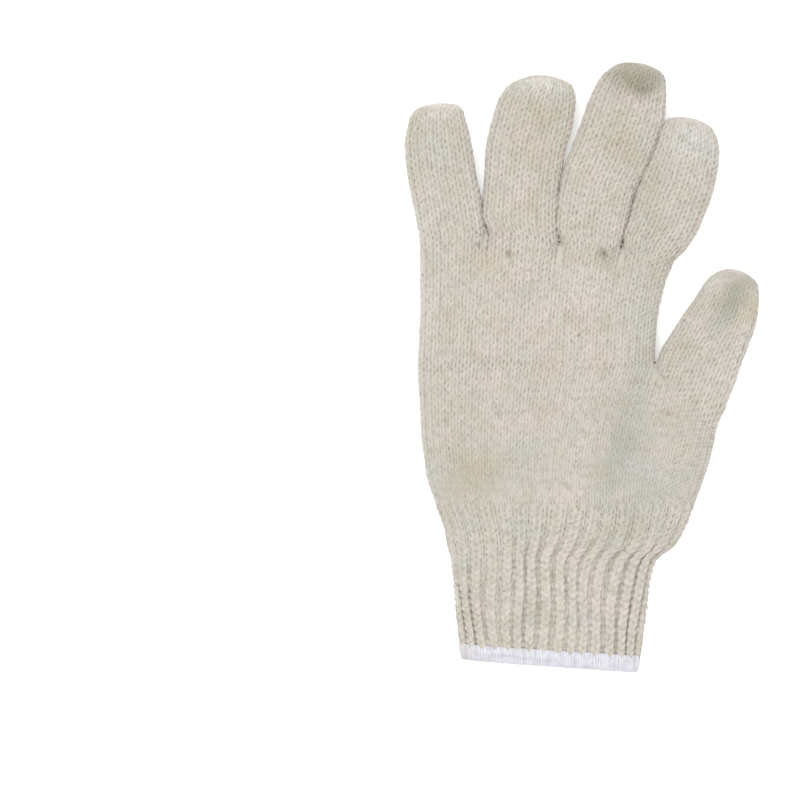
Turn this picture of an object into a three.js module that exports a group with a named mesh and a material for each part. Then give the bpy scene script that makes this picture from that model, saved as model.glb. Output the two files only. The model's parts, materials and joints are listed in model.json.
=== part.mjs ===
// A seamless knitted cotton work glove, empty and lying flat, with its fingers towards +Y.
// Millimetres and degrees. The origin is under the middle of the glove, on the surface it lies on.
// Each knitted section is a hollow wall of its own: four fingers, thumb, two palm tubes, cuff and edge.
import * as THREE from 'three';

// Thickness of the knit, and the gaps between pieces
const fabricWall = 1.8;
const cuffWall = 2.0;
const hemWall = 2.5;
const seamGap = 0.3;
const besideGap = 0.45;

// Heights of the lying tubes
const fingerHeight = 11.5;
const thumbHeight = 11.5;
const palmHeight = 12.5;
const cuffHeight = 13;

// Lengths along the hand
const hemLength = 5;
const cuffLength = 64;
const lowerPalmLength = 56;
const upperPalmLength = 53.5;

// Widths and sideways shifts of the cuff and palm
const mouthWidth = 73;
const mouthTilt = -4.1;
const palmBaseWidth = 105;
const palmBaseShift = 6.3;
const heelOut = 0.8;
const knuckleShift = -1.2;
const thumbCrotchIn = 7.7;
const thumbCrotchRise = 1.9;

// Ribs round the cuff
const ribCount = 30;
const ribDepth = 1.3;

// Fingers: width and length, lean of the finger and tilt of the line that it grows from
const littleWidth = 27.7;
const littleLength = 54.1;
const littleLean = 5.6;
const littleRootTilt = 3.5;
const ringWidth = 29.9;
const ringLength = 67.1;
const ringLean = -6.7;
const ringRootTilt = -8.6;
const middleWidth = 25.2;
const middleLength = 77.1;
const middleLean = -13.6;
const middleRootTilt = -3.6;
const indexWidth = 21.9;
const indexLength = 58.9;
const indexLean = -17.6;
const indexRootTilt = -16.2;
const thumbWidth = 36.9;
const thumbLength = 56.4;
const thumbLean = -21.5;
const thumbRootTilt = -47.2;

// Colours of the yarns
const ecru = 0xd6cfc0;
const hemWhite = 0xe2e2ea;

// Outlines of the fingers. `at` is the share of the length from the root, `side` the shift of the middle
// and `half` the half width, both as shares of the finger's width.
const littleOutline = [
  { at: 0.0, side: 0.0, half: 0.5 },
  { at: 0.1, side: -0.018, half: 0.5 },
  { at: 0.3, side: -0.05, half: 0.505 },
  { at: 0.5, side: -0.087, half: 0.502 },
  { at: 0.7, side: -0.094, half: 0.487 },
  { at: 0.84, side: -0.08, half: 0.43 },
  { at: 0.92, side: -0.06, half: 0.39 },
  { at: 0.96, side: -0.05, half: 0.318 },
  { at: 1.0, side: -0.05, half: 0 },
];
const ringOutline = [
  { at: 0.0, side: 0.0, half: 0.5 },
  { at: 0.1, side: -0.06, half: 0.513 },
  { at: 0.3, side: -0.11, half: 0.52 },
  { at: 0.5, side: -0.115, half: 0.537 },
  { at: 0.7, side: -0.064, half: 0.548 },
  { at: 0.84, side: -0.023, half: 0.513 },
  { at: 0.92, side: 0.02, half: 0.431 },
  { at: 0.96, side: 0.057, half: 0.329 },
  { at: 1.0, side: 0.04, half: 0 },
];
const middleOutline = [
  { at: 0.0, side: 0.0, half: 0.5 },
  { at: 0.1, side: -0.07, half: 0.566 },
  { at: 0.3, side: -0.12, half: 0.614 },
  { at: 0.5, side: -0.028, half: 0.637 },
  { at: 0.7, side: 0.04, half: 0.639 },
  { at: 0.84, side: 0.052, half: 0.573 },
  { at: 0.92, side: 0.085, half: 0.48 },
  { at: 0.96, side: 0.115, half: 0.39 },
  { at: 1.0, side: 0.14, half: 0 },
];
const indexOutline = [
  { at: 0.0, side: 0.0, half: 0.5 },
  { at: 0.1, side: 0.06, half: 0.58 },
  { at: 0.3, side: 0.1, half: 0.67 },
  { at: 0.5, side: 0.1, half: 0.7 },
  { at: 0.7, side: 0.13, half: 0.63 },
  { at: 0.84, side: 0.09, half: 0.58 },
  { at: 0.92, side: 0.05, half: 0.5 },
  { at: 0.96, side: 0.07, half: 0.38 },
  { at: 1.0, side: 0.1, half: 0 },
];
const thumbOutline = [
  { at: 0.0, side: 0.0, half: 0.5 },
  { at: 0.1, side: 0.0, half: 0.475 },
  { at: 0.3, side: 0.004, half: 0.438 },
  { at: 0.5, side: 0.03, half: 0.409 },
  { at: 0.7, side: 0.057, half: 0.366 },
  { at: 0.84, side: 0.049, half: 0.314 },
  { at: 0.92, side: 0.06, half: 0.255 },
  { at: 0.96, side: 0.068, half: 0.2 },
  { at: 1.0, side: 0.06, half: 0 },
];

// The cuff from its mouth up. `flare` goes from the mouth's width at 0 to the palm's base at 1, `shift`
// does the same for the middle, and `ribs` is the share of the ribs' depth.
const cuffOutline = [
  { at: 0.0, flare: 0.0, shift: 0.0, ribs: 0.9 },
  { at: 0.25, flare: 0.13, shift: 0.05, ribs: 1.0 },
  { at: 0.55, flare: 0.25, shift: 0.12, ribs: 1.0 },
  { at: 0.66, flare: 0.33, shift: 0.22, ribs: 0.85 },
  { at: 0.76, flare: 0.62, shift: 0.7, ribs: 0.6 },
  { at: 0.87, flare: 0.8, shift: 0.94, ribs: 0.3 },
  { at: 1.0, flare: 1.0, shift: 1.0, ribs: 0.0 },
];

// Sides of the two palm tubes: how far each side swells past a straight line, as shares of the knuckles' width
const lowerPalmSides = [
  { at: 0.0, left: 0.0, right: 0.0 },
  { at: 0.25, left: 0.024, right: 0.006 },
  { at: 0.5, left: 0.022, right: 0.01 },
  { at: 0.75, left: 0.012, right: 0.008 },
  { at: 1.0, left: 0.0, right: 0.0 },
];
const upperPalmSides = [
  { at: 0.0, left: 0.0, right: 0.0 },
  { at: 0.25, left: -0.004, right: -0.013 },
  { at: 0.5, left: -0.006, right: -0.022 },
  { at: 0.75, left: -0.004, right: -0.018 },
  { at: 1.0, left: 0.0, right: 0.0 },
];

// Valleys in the top face where two tubes part: depth as a share of the height, half width as a share of
// the knuckles' width, and how far down the palm tube they fade, as a share of its length
const knuckleValley = { depth: 0.36, spread: 0.055, fade: 0.55 };
const thumbValley = { depth: 0.34, spread: 0.07, fade: 0.75 };

// Shape of a lying tube across its width
const sideShare = 0.42;
const fingerShape = { flatBelow: 0.55, flatAbove: 0.12, crown: 0.0 };
const palmShape = { flatBelow: 0.84, flatAbove: 0.72, crown: 0.14 };
const tipStart = 0.84;

// Mesh steps: points round a tube and sections along it
const fingerTurns = 22;
const palmTurns = 52;
const pointsPerRib = 4;
const fingerSteps = [0, 0.12, 0.28, 0.45, 0.62, 0.76, 0.86, 0.925, 0.965, 0.992];
const palmSteps = [0, 0.25, 0.5, 0.75, 1];
const cuffSteps = [0, 0.35, 0.62, 0.74, 0.86, 1];

const radians = Math.PI / 180;
const mix = (a, b, share) => a + (b - a) * share;
const smooth = (share) => share * share * (3 - 2 * share);
const clampShare = (share) => Math.min(1, Math.max(0, share));
const direction = (degrees) => new THREE.Vector2(Math.cos(degrees * radians), Math.sin(degrees * radians));

// Value of one column of a table at a share, on a curve that never overshoots its rows
function readColumn(table, column, at) {
  const last = table.length - 2;
  let row = table.findIndex((entry) => entry.at > at) - 1;
  if (row < 0) row = last;
  const slope = (index) => (table[index + 1][column] - table[index][column]) / (table[index + 1].at - table[index].at);
  const tangent = (index) => {
    if (index === 0) return slope(0);
    if (index === last + 1) return slope(last);
    const before = slope(index - 1);
    const after = slope(index);
    return before * after > 0 ? 2 * before * after / (before + after) : 0;
  };
  const span = table[row + 1].at - table[row].at;
  const t = clampShare((at - table[row].at) / span);
  const rise = table[row + 1][column] - table[row][column];
  const start = tangent(row) * span;
  const end = tangent(row + 1) * span;
  return table[row][column] + t * (start + t * (3 * rise - 2 * start - end + t * (start + end - 2 * rise)));
}

// Half widths are read as squares, so a tip closes round
function readHalf(table, at) {
  const squares = table.map((row) => ({ at: row.at, half: row.half * row.half }));
  return Math.sqrt(Math.max(0, readColumn(squares, 'half', at)));
}

// Height of a quarter round: 1 over the flat share, falling to 0 at the side
function roundOff(across, flat) {
  const t = clampShare((Math.abs(across) - flat) / (1 - flat));
  return Math.sqrt(Math.max(0, 1 - t * t));
}

// Point where a ray from `from` along `ray` meets a run of straight stretches, as a distance, or null
function distanceToEdge(from, ray, edge) {
  let nearest = null;
  for (let i = 0; i + 1 < edge.length; i++) {
    const stretch = edge[i + 1].clone().sub(edge[i]);
    const offset = edge[i].clone().sub(from);
    const cross = ray.cross(stretch);
    if (Math.abs(cross) < 1e-9) continue;
    const along = offset.cross(stretch) / cross;
    const share = offset.cross(ray) / cross;
    if (along > 0 && share >= -0.02 && share <= 1.02 && (nearest === null || along < nearest)) nearest = along;
  }
  return nearest;
}

// Knuckle line: the corners between the finger roots, from the little finger's side across
const fingers = [
  {
    name: 'little_finger', width: littleWidth, length: littleLength, lean: littleLean,
    rootTilt: littleRootTilt, outline: littleOutline, height: fingerHeight,
  },
  {
    name: 'ring_finger', width: ringWidth, length: ringLength, lean: ringLean,
    rootTilt: ringRootTilt, outline: ringOutline, height: fingerHeight,
  },
  {
    name: 'middle_finger', width: middleWidth, length: middleLength, lean: middleLean,
    rootTilt: middleRootTilt, outline: middleOutline, height: fingerHeight,
  },
  {
    name: 'index_finger', width: indexWidth, length: indexLength, lean: indexLean,
    rootTilt: indexRootTilt, outline: indexOutline, height: fingerHeight,
  },
];
const knuckleWidth = fingers.reduce((sum, finger) => sum + finger.width * Math.cos(finger.rootTilt * radians), 0);
const knuckleY = cuffLength + lowerPalmLength + upperPalmLength;
const knuckles = [new THREE.Vector2(knuckleShift - knuckleWidth / 2, knuckleY)];
for (const finger of fingers) {
  knuckles.push(knuckles.at(-1).clone().addScaledVector(direction(finger.rootTilt), finger.width));
}

// Corners of the palm in plan
const palmBaseLeft = new THREE.Vector2(palmBaseShift - palmBaseWidth / 2, cuffLength);
const palmBaseRight = new THREE.Vector2(palmBaseShift + palmBaseWidth / 2, cuffLength);
const waistLeft = new THREE.Vector2(knuckles[0].x - heelOut, cuffLength + lowerPalmLength);
const thumbCrotch = new THREE.Vector2(knuckles[4].x - thumbCrotchIn, waistLeft.y + thumbCrotchRise);
const thumbRootEnd = thumbCrotch.clone().addScaledVector(direction(thumbRootTilt), thumbWidth);
const thumb = {
  name: 'thumb', width: thumbWidth, length: thumbLength, lean: thumbLean,
  rootTilt: thumbRootTilt, outline: thumbOutline, height: thumbHeight,
};

// Edges of a finger in plan, given the corners of its root and the neighbour's edge that it gives way to
function fingerPlan(finger, rootLeft, rootRight, neighbourEdge) {
  const root = rootLeft.clone().lerp(rootRight, 0.5);
  const axis = direction(90 + finger.lean);
  const squareOff = direction(finger.lean);
  const rootLine = rootRight.clone().sub(rootLeft).normalize();
  return (at, inset) => {
    const across = rootLine.clone().lerp(squareOff, smooth(clampShare(at / 0.35))).normalize();
    const middle = root.clone()
      .addScaledVector(axis, finger.length * at - inset * at)
      .addScaledVector(across, readColumn(finger.outline, 'side', at) * finger.width);
    const half = readHalf(finger.outline, at) * finger.width - besideGap / 2;
    let reach = half;
    if (neighbourEdge) {
      const room = distanceToEdge(middle, across.clone().negate(), neighbourEdge);
      if (room !== null) reach = Math.min(half, room - besideGap);
    }
    return {
      left: middle.clone().addScaledVector(across, inset - reach),
      right: middle.clone().addScaledVector(across, half - inset),
    };
  };
}

// Section of a finger: the plan position across it and its lowest and highest levels
function fingerSection(finger, plan, at, inset) {
  const edges = plan(at, inset);
  const middleLevel = finger.height * sideShare;
  const close = at <= tipStart ? 1 : Math.sqrt(Math.max(0, 1 - ((at - tipStart) / (1 - tipStart)) ** 2));
  const low = mix(middleLevel, inset, close);
  const high = mix(middleLevel, finger.height - inset, close);
  return (across) => {
    const spot = edges.left.clone().lerp(edges.right, (across + 1) / 2);
    return {
      x: spot.x,
      y: spot.y,
      low: mix(middleLevel, low, roundOff(across, fingerShape.flatBelow)),
      high: mix(middleLevel, high, roundOff(across, fingerShape.flatAbove)),
    };
  };
}

// Position on a run of straight stretches, -1 to 1 across, with its two ends pulled in by the inset
function acrossRun(corners, across, inset) {
  const spans = corners.slice(1).map((corner, i) => corner.distanceTo(corners[i]));
  const total = spans.reduce((sum, span) => sum + span, 0);
  let distance = mix(inset, total - inset, (across + 1) / 2);
  let i = 0;
  while (i < spans.length - 1 && distance > spans[i]) {
    distance -= spans[i];
    i += 1;
  }
  return corners[i].clone().lerp(corners[i + 1], distance / spans[i]);
}

// Where a corner lies across its run, from -1 to 1
function cornerShare(corners, index) {
  const spans = corners.slice(1).map((corner, i) => corner.distanceTo(corners[i]));
  const total = spans.reduce((sum, span) => sum + span, 0);
  return 2 * spans.slice(0, index).reduce((sum, span) => sum + span, 0) / total - 1;
}

// Section of a palm tube between two runs of corners, with valleys that start at its upper edge
function palmSection(lower, upper, sides, valley, at, inset) {
  const valleys = upper.slice(1, -1).map((corner, i) => cornerShare(upper, i + 1));
  const swellLeft = readColumn(sides, 'left', at) * knuckleWidth;
  const swellRight = readColumn(sides, 'right', at) * knuckleWidth;
  const fade = smooth(clampShare((at - 1 + valley.fade) / valley.fade));
  const middleLevel = palmHeight * sideShare;
  return (across) => {
    const spot = acrossRun(lower, across, inset).lerp(acrossRun(upper, across, inset), at);
    spot.x += swellRight * Math.max(0, across) ** 2 - swellLeft * Math.min(0, across) ** 2;
    const dip = valleys.reduce((sum, place) => sum + Math.exp(-(((across - place) / valley.spread / 2) ** 2)), 0);
    const crown = 1 - palmShape.crown * across * across;
    const top = palmHeight * crown * (1 - valley.depth * fade * dip) - inset;
    const bottom = inset + palmHeight * valley.depth * fade * dip * 0.35;
    return {
      x: spot.x,
      y: spot.y,
      low: mix(middleLevel, bottom, roundOff(across, palmShape.flatBelow)),
      high: mix(middleLevel, top, roundOff(across, palmShape.flatAbove)),
    };
  };
}

// Section of the cuff as a smooth tube, without its ribs
function cuffSection(at, inset) {
  const half = mix(mouthWidth, palmBaseWidth, readColumn(cuffOutline, 'flare', at)) / 2 - inset;
  const middle = new THREE.Vector2(palmBaseShift * readColumn(cuffOutline, 'shift', at), cuffLength * at);
  const line = direction(mouthTilt * (1 - at));
  const height = mix(cuffHeight, palmHeight, smooth(at));
  const middleLevel = height * sideShare;
  return (across) => {
    const spot = middle.clone().addScaledVector(line, half * across);
    const crown = 1 - palmShape.crown * across * across;
    return {
      x: spot.x,
      y: spot.y,
      low: mix(middleLevel, inset, roundOff(across, palmShape.flatBelow)),
      high: mix(middleLevel, height * crown - inset, roundOff(across, palmShape.flatAbove)),
    };
  };
}

// Loop of points round a section, from its left edge over the top and back underneath
function loopRound(section, turns) {
  const points = [];
  for (let i = 0; i < turns; i++) {
    const turn = 2 * Math.PI * i / turns;
    const place = section(-Math.cos(turn));
    points.push(new THREE.Vector3(place.x, place.y, turn <= Math.PI ? place.high : place.low));
  }
  return points;
}

// Loop with its points evenly spaced round it, moved out by `lift` at crests and in by it at troughs
function ribbedLoop(section, lift, inward) {
  const fine = loopRound(section, 360);
  const curve = new THREE.CatmullRomCurve3(fine, true, 'centripetal');
  curve.arcLengthDivisions = 720;
  const count = ribCount * pointsPerRib;
  const even = curve.getSpacedPoints(count).slice(0, count);
  const run = section(1);
  const start = section(-1);
  const along = new THREE.Vector3(run.x - start.x, run.y - start.y, 0).normalize();
  return even.map((point, i) => {
    const step = even[(i + 1) % count].clone().sub(even[(i + count - 1) % count]);
    const flat = step.dot(along);
    const normal = along.clone().multiplyScalar(-step.z).add(new THREE.Vector3(0, 0, flat)).normalize();
    const wave = Math.cos(2 * Math.PI * i / pointsPerRib);
    return point.clone().addScaledVector(normal, lift * wave - inward);
  });
}

// Closed mesh of a wall from its outer and inner loops. A tip closes both with a point.
function wallMesh(name, colour, outer, inner, outerTip, innerTip) {
  const positions = [];
  const triangles = [];
  const addLoop = (loop) => {
    const first = positions.length / 3;
    loop.forEach((point) => positions.push(point.x, point.y, point.z));
    return first;
  };
  const addQuad = (a, b, c, d) => triangles.push(a, b, c, a, c, d);
  const outerFirst = outer.map(addLoop);
  const innerFirst = inner.map(addLoop);
  const turns = outer[0].length;
  const next = (i) => (i + 1) % turns;
  for (let i = 0; i < turns; i++) {
    for (let row = 0; row + 1 < outer.length; row++) {
      const [a, b] = [outerFirst[row], outerFirst[row + 1]];
      addQuad(a + i, a + next(i), b + next(i), b + i);
    }
    for (let row = 0; row + 1 < inner.length; row++) {
      const [a, b] = [innerFirst[row], innerFirst[row + 1]];
      addQuad(a + next(i), a + i, b + i, b + next(i));
    }
    addQuad(innerFirst[0] + next(i), outerFirst[0] + next(i), outerFirst[0] + i, innerFirst[0] + i);
    const [outerEnd, innerEnd] = [outerFirst.at(-1), innerFirst.at(-1)];
    if (!outerTip) addQuad(outerEnd + i, outerEnd + next(i), innerEnd + next(i), innerEnd + i);
  }
  if (outerTip) {
    const outerApex = addLoop([outerTip]);
    const innerApex = addLoop([innerTip]);
    for (let i = 0; i < turns; i++) {
      triangles.push(outerFirst.at(-1) + i, outerFirst.at(-1) + next(i), outerApex);
      triangles.push(innerFirst.at(-1) + next(i), innerFirst.at(-1) + i, innerApex);
    }
  }
  const geometry = new THREE.BufferGeometry();
  geometry.setAttribute('position', new THREE.Float32BufferAttribute(positions, 3));
  geometry.setIndex(triangles);
  geometry.computeVertexNormals();
  const material = new THREE.MeshStandardMaterial({ color: colour, roughness: 0.95, metalness: 0 });
  const mesh = new THREE.Mesh(geometry, material);
  mesh.name = name;
  return mesh;
}

// Finger or thumb tube, starting half a gap above its root line
function fingerMesh(finger, plan) {
  const start = seamGap / 2 / finger.length;
  const steps = fingerSteps.map((at) => mix(start, 1, at));
  const loops = (inset) => steps.map((at) => loopRound(fingerSection(finger, plan, at, inset), fingerTurns));
  const tip = (inset) => {
    const place = fingerSection(finger, plan, 1, inset)(0);
    return new THREE.Vector3(place.x, place.y, place.high);
  };
  return wallMesh(finger.name, ecru, loops(0), loops(fabricWall), tip(0), tip(fabricWall));
}

// Palm tube, half a gap short at both ends
function palmMesh(name, lower, upper, sides, valley, length) {
  const margin = seamGap / 2 / length;
  const steps = palmSteps.map((at) => mix(margin, 1 - margin, at));
  const loops = (inset) => steps.map((at) => (
    loopRound(palmSection(lower, upper, sides, valley, at, inset), palmTurns)
  ));
  return wallMesh(name, ecru, loops(0), loops(fabricWall));
}

// Cuff or hem: the ribs run round it as one wavy wall
function ribbedMesh(name, colour, from, to, steps, wall, proud) {
  const places = steps.map((step) => mix(from, to, step) / cuffLength);
  const lift = (at) => ribDepth / 2 * readColumn(cuffOutline, 'ribs', at);
  const loops = (inward) => places.map((at) => ribbedLoop(cuffSection(at, lift(at) - proud), lift(at), inward));
  return wallMesh(name, colour, loops(0), loops(wall));
}

// Assembly
const group = new THREE.Group();
let edge = null;
fingers.forEach((finger, i) => {
  const plan = fingerPlan(finger, knuckles[i], knuckles[i + 1], edge);
  edge = fingerSteps.concat(1).map((at) => plan(at, 0).right);
  group.add(fingerMesh(finger, plan));
});
const palmCut = [waistLeft, thumbCrotch];
group.add(palmMesh('upper_palm', palmCut, knuckles, upperPalmSides, knuckleValley, upperPalmLength));
group.add(fingerMesh(thumb, fingerPlan(thumb, thumbCrotch, thumbRootEnd, null)));
const palmBase = [palmBaseLeft, palmBaseRight];
const palmTop = [waistLeft, thumbCrotch, thumbRootEnd];
group.add(palmMesh('lower_palm', palmBase, palmTop, lowerPalmSides, thumbValley, lowerPalmLength));
const cuffEnd = cuffLength - seamGap / 2;
group.add(ribbedMesh('rib_cuff', ecru, hemLength + seamGap / 2, cuffEnd, cuffSteps, cuffWall, 0));
group.add(ribbedMesh('overlock_hem', hemWhite, 0, hemLength - seamGap / 2, [0, 1], hemWall, 0));

// The origin moves to the middle of the glove, on the surface that it lies on
const bounds = new THREE.Box3().setFromObject(group);
const centre = bounds.getCenter(new THREE.Vector3());
group.position.set(-centre.x, -centre.y, -bounds.min.z);

export default group;
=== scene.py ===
import json
import math

import bpy
import numpy as np
from bpy.props import FloatProperty, FloatVectorProperty, IntProperty, PointerProperty
from bpy.types import Operator, Panel, PropertyGroup
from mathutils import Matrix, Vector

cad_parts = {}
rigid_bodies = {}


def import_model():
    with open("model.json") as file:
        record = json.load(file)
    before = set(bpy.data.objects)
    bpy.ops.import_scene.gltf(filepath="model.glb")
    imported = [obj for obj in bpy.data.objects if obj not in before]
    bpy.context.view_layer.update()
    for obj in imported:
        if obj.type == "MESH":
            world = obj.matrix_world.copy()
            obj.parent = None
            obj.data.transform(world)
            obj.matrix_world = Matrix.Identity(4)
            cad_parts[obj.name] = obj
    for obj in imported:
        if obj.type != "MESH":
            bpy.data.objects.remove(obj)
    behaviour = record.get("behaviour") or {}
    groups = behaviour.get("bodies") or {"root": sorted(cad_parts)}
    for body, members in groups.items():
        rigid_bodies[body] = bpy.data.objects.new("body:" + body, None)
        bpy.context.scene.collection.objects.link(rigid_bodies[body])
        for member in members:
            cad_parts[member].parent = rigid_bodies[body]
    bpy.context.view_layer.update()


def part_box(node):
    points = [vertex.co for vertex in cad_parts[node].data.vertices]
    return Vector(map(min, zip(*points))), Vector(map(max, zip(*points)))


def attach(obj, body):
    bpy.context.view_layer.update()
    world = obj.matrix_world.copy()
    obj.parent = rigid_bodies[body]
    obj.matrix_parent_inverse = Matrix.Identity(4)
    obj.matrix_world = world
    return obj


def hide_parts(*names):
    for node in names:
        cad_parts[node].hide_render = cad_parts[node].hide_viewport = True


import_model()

bl_info = {
    "name": "Cotton work glove",
    "version": (1, 0, 0),
    "blender": (4, 5, 0),
    "location": "View3D > Sidebar > Glove",
    "description": "Knits a seamless cotton work glove, stitch by stitch, round its hollow walls",
    "category": "Add Mesh",
}

# Sizes of the hollow walls, the same as the part's own, but for a narrower gap beside the fingers.
# Lengths are in metres and angles in degrees.
mm = 0.001
BESIDE_GAP = 0.12 * mm
SEAM_GAP = 0.3 * mm
FINGER_HEIGHT = 11.5 * mm
PALM_HEIGHT = 12.5 * mm
CUFF_HEIGHT = 13 * mm
HEM_LENGTH = 5 * mm
CUFF_LENGTH = 64 * mm
LOWER_PALM_LENGTH = 56 * mm
UPPER_PALM_LENGTH = 53.5 * mm
MOUTH_WIDTH = 73 * mm
MOUTH_TILT = -4.1
PALM_BASE_WIDTH = 105 * mm
PALM_BASE_SHIFT = 6.3 * mm
HEEL_OUT = 0.8 * mm
KNUCKLE_SHIFT = -1.2 * mm
THUMB_CROTCH_IN = 7.7 * mm
THUMB_CROTCH_RISE = 1.9 * mm
RIB_COUNT = 30
RIB_DEPTH = 1.3 * mm
SIDE_SHARE = 0.42
TIP_START = 0.84
FINGER_SHAPE = {"below": 0.55, "above": 0.12}
PALM_SHAPE = {"below": 0.84, "above": 0.72, "crown": 0.14, "underside": 0.35}
KNUCKLE_VALLEY = {"depth": 0.36, "spread": 0.055, "fade": 0.55}
THUMB_VALLEY = {"depth": 0.34, "spread": 0.07, "fade": 0.75}
NEIGHBOUR_STEPS = (0, 0.12, 0.28, 0.45, 0.62, 0.76, 0.86, 0.925, 0.965, 0.992, 1)

# How far a finger's sides are pressed flat, and the flat share of its top where it leaves the palm
PRESSED = 1 * mm
ROOT_FLAT = 0.6

# Where a finger changes near its root, as shares of its length: its rows turn square to it, its sides are
# pressed, its top is flat, and its overlap with its neighbour grows and fades
ROOT_EASE = {"square": 0.35, "pressed": 0.12, "flat": 0.45, "grow": 0.08, "fade": 0.27}

# How far fingers that lie together mesh, along their sides and at their roots
MESHED = 0.5 * mm
ROOT_OVERLAP = 1.7 * mm

# How far down a palm tube it eases into the tubes above it, as a share of its length, and how fully
CHILD_EASE = 0.24
CHILD_SHARE = 0.55

# Outlines of the fingers: place along the length, shift of the middle and half width, the last two as
# shares of the finger's width
OUTLINE_PLACES = (0, 0.1, 0.3, 0.5, 0.7, 0.84, 0.92, 0.96, 1)
LITTLE = {
    "at": OUTLINE_PLACES,
    "side": (0, -0.018, -0.05, -0.087, -0.094, -0.08, -0.06, -0.05, -0.05),
    "half": (0.5, 0.5, 0.505, 0.502, 0.487, 0.43, 0.39, 0.318, 0),
}
RING = {
    "at": OUTLINE_PLACES,
    "side": (0, -0.06, -0.11, -0.115, -0.064, -0.023, 0.02, 0.057, 0.04),
    "half": (0.5, 0.513, 0.52, 0.537, 0.548, 0.513, 0.431, 0.329, 0),
}
MIDDLE = {
    "at": OUTLINE_PLACES,
    "side": (0, -0.07, -0.12, -0.028, 0.04, 0.052, 0.085, 0.115, 0.14),
    "half": (0.5, 0.566, 0.614, 0.637, 0.639, 0.573, 0.48, 0.39, 0),
}
INDEX = {
    "at": OUTLINE_PLACES,
    "side": (0, 0.06, 0.1, 0.1, 0.13, 0.09, 0.05, 0.07, 0.1),
    "half": (0.5, 0.58, 0.67, 0.7, 0.63, 0.58, 0.5, 0.38, 0),
}
THUMB = {
    "at": OUTLINE_PLACES,
    "side": (0, 0, 0.004, 0.03, 0.057, 0.049, 0.06, 0.068, 0.06),
    "half": (0.5, 0.475, 0.438, 0.409, 0.366, 0.314, 0.255, 0.2, 0),
}
CUFF = {
    "at": (0, 0.25, 0.55, 0.66, 0.76, 0.87, 1),
    "flare": (0, 0.13, 0.25, 0.33, 0.62, 0.8, 1),
    "shift": (0, 0.05, 0.12, 0.22, 0.7, 0.94, 1),
    "ribs": (0.9, 1, 1, 0.85, 0.6, 0.3, 0),
}
SIDE_PLACES = (0, 0.25, 0.5, 0.75, 1)
LOWER_SIDES = {"at": SIDE_PLACES, "left": (0, 0.024, 0.022, 0.012, 0), "right": (0, 0.006, 0.01, 0.008, 0)}
UPPER_SIDES = {
    "at": SIDE_PLACES,
    "left": (0, -0.004, -0.006, -0.004, 0),
    "right": (0, -0.013, -0.022, -0.018, 0),
}

# Width, length, lean, root tilt and outline of each finger
FINGERS = {
    "little_finger": (27.7 * mm, 54.1 * mm, 5.6, 3.5, LITTLE),
    "ring_finger": (29.9 * mm, 67.1 * mm, -6.7, -8.6, RING),
    "middle_finger": (25.2 * mm, 77.1 * mm, -13.6, -3.6, MIDDLE),
    "index_finger": (21.9 * mm, 58.9 * mm, -17.6, -16.2, INDEX),
}
THUMB_SIZES = (36.9 * mm, 56.4 * mm, -21.5, -47.2, THUMB)

# Stitches round each tube
WALES = {
    "little_finger": 18, "ring_finger": 20, "middle_finger": 19, "index_finger": 18, "thumb": 22,
    "upper_palm": 66, "lower_palm": 92, "rib_cuff": 60,
}

# Soft hollows where the cloth sinks, in mm: place, half lengths across and along, turn and depth
HOLLOWS = (
    ((21, -29), (7, 30), -15, 0.7),
    ((-8, 38), (16, 7), 6, 0.35),
    ((-44, -12), (9, 26), 4, 0.3),
    ((44, -46), (8, 14), -25, 0.4),
    ((-20, -52), (30, 8), -3, 0.3),
)

# The height from which the cloth sinks into its hollows, and how far above it sinks fully
SINK_FROM = 4 * mm
SINK_SPAN = 5 * mm

# The wave of the upper cloth: how fast each of three waves runs across and along, and where it starts. The
# first two are multiplied and the third is added by its share.
WAVES = ((0.21, 0.09, 1), (-0.06, 0.17, 0), (0.13, -0.28, 2))
THIRD_WAVE = 0.6
WAVE_HEIGHT = 0.14 * mm

# How the ribs vary, as shares of one rib: crests wider than troughs, wander along the cuff, spacing round it
# and depth
CREST_SHARE = 0.055
RIB_WANDER = 0.12
RIB_SPACING = 0.1
RIB_UNEVEN = 0.22

# How nearly straight the middle ribs run while the sides flare
RIB_STRAIGHT = 0.65

# How much later the ribs fade in the middle and sooner at the sides, as shares of the cuff's length
RIB_FADE = {"middle": 0.15, "left": 0.4, "right": 0.2}

# The wall behind the stitches: its thickness, and how deep its first row is tucked under the piece below
WALL = 0.5 * mm
TUCK = 0.3 * mm

# The sheet under the stitches: its rows for one course, its rows beyond each end of a piece, and how far
# these dip so that the yarn meets the next piece's
SHEET_STEPS = 4
SHEET_SPARE = 6
END_DIP = 0.2 * mm

# Where the first course lies and how much of one the end leaves free, in a piece with a tip and in any other
TIP_COURSES = (0.3, 0.5)
TUBE_COURSES = (0.5, 0.0)

# How much the yarn's thickness varies and how far it strays across, along and outward, and the most that it
# thickens where a tube is wider than its stitches
THICKNESS_VARIES = 0.5
STRAY = (0.34, 0.3, 0.7)
MOST_GAUGE = 1.1

# The hem's thread: how far its band reaches below the mouth and how tall it is, how deep its middle lies, the
# width and slant of one wrap, how strongly the ribs show through it, and the columns of its chart
HEM_BELOW = 0.9 * mm
HEM_BAND = HEM_LENGTH + 2.1 * mm
HEM_MIDDLE = 1.25 * mm
WRAP_WIDTH = 0.8 * mm
WRAP_SLANT = 0.12
HEM_RIBS = 0.18
HEM_CHART_COLUMNS = 24

# The wall behind the hem's thread: where it starts and ends, and half its thickness
HEM_WALL = (0.7 * mm, HEM_LENGTH - 0.2 * mm)
HEM_HALF_WALL = 0.5 * mm

# How strongly the ribs show in the cuff's yarn
CUFF_RIBS = 1.0

# Share of a piece's chart that its threads take. The wall behind them has the rest.
THREAD_CHART = 0.8

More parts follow.
